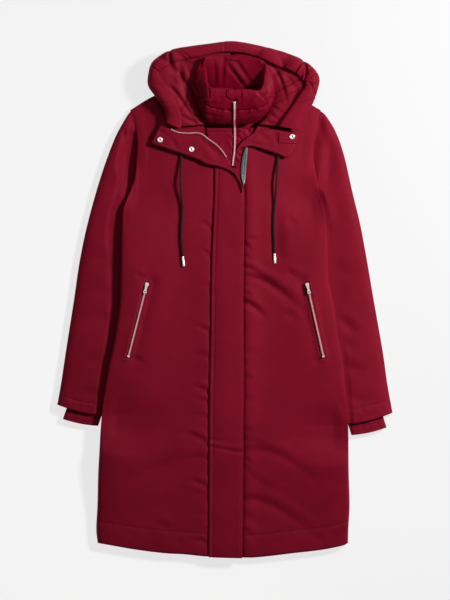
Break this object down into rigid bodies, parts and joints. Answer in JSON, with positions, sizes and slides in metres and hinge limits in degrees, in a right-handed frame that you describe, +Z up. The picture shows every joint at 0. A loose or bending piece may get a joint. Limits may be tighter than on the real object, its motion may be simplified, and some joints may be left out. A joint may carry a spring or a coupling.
{
  "type": "padded hooded coat",
  "caption": "Knee-length padded coat laid flat: hood, quilted inner collar, turned-out lapels with snaps, storm placket, zipped pockets, drawcords and inner cuffs.",
  "frame": {"origin": "centre of the coat's outline, on the surface that it lies on", "axes": "+Y runs up the coat from hem to hood, +X towards the wearer's left, +Z up out of its front"},
  "size_m": [0.7055, 1.0841, 0.0834],
  "materials": {
    "shell_cloth": "matt crimson water-repellent weave over light padding",
    "lining_cloth": "matt crimson lining",
    "nylon_cloth": "softly glossy crimson nylon, quilted",
    "cord_dark": "dark braided cord",
    "guard_grey": "grey coated water-repellent zip tape",
    "nickel": "light nickel"
  },
  "bodies": {
    "coat": {"aglet_l": "nickel", "aglet_r": "nickel", "back_panel": "shell_cloth", "bib_l": "nylon_cloth", "bib_r": "nylon_cloth", "chin_guard": "nylon_cloth", "drawcord_l": "cord_dark", "drawcord_r": "cord_dark", "front_l": "shell_cloth", "front_r": "shell_cloth", "hanger_loop": "nylon_cloth", "hood_centre": "shell_cloth", "hood_lining_l": "lining_cloth", "hood_lining_r": "lining_cloth", "hood_rim": "shell_cloth", "hood_side_l": "shell_cloth", "hood_side_r": "shell_cloth", "inner_collar": "nylon_cloth", "inner_slider": "nickel", "inner_zip": "nickel", "lapel_l": "shell_cloth", "lapel_r": "shell_cloth", "lapel_tab": "shell_cloth", "placket": "shell_cloth", "pocket_l_slider": "nickel", "pocket_r_slider": "nickel", "pocket_stop_l": "nickel", "pocket_stop_r": "nickel", "pocket_zip_l": "nickel", "pocket_zip_r": "nickel", "sleeve_l": "shell_cloth", "sleeve_r": "shell_cloth", "snap_l1": "nickel", "snap_r1": "nickel", "snap_r2": "nickel", "storm_cuff_l": "shell_cloth", "storm_cuff_r": "shell_cloth", "zip_edge": "nickel", "zip_guard": "guard_grey"},
    "pocket_r_pull": {"pocket_r_pull": "nickel"},
    "pocket_l_pull": {"pocket_l_pull": "nickel"},
    "inner_pull": {"inner_pull": "nickel"}
  },
  "joints": [
    {"name": "pocket_r_pull_hinge", "type": "hinge", "parent": "coat", "child": "pocket_r_pull", "pos_m": [-0.16371, 0.0317, 0.03957], "axis": [-0.9693, 0.2461, 0], "range_deg": [0, 160]},
    {"name": "pocket_l_pull_hinge", "type": "hinge", "parent": "coat", "child": "pocket_l_pull", "pos_m": [0.17242, 0.03084, 0.04312], "axis": [-0.9757, -0.2192, 0], "range_deg": [0, 160]},
    {"name": "inner_pull_hinge", "type": "hinge", "parent": "coat", "child": "inner_pull", "pos_m": [0.02009, 0.40733, 0.07898], "axis": [-0.9998, 0.0122, -0.0133], "range_deg": [0, 160]}
  ]
}
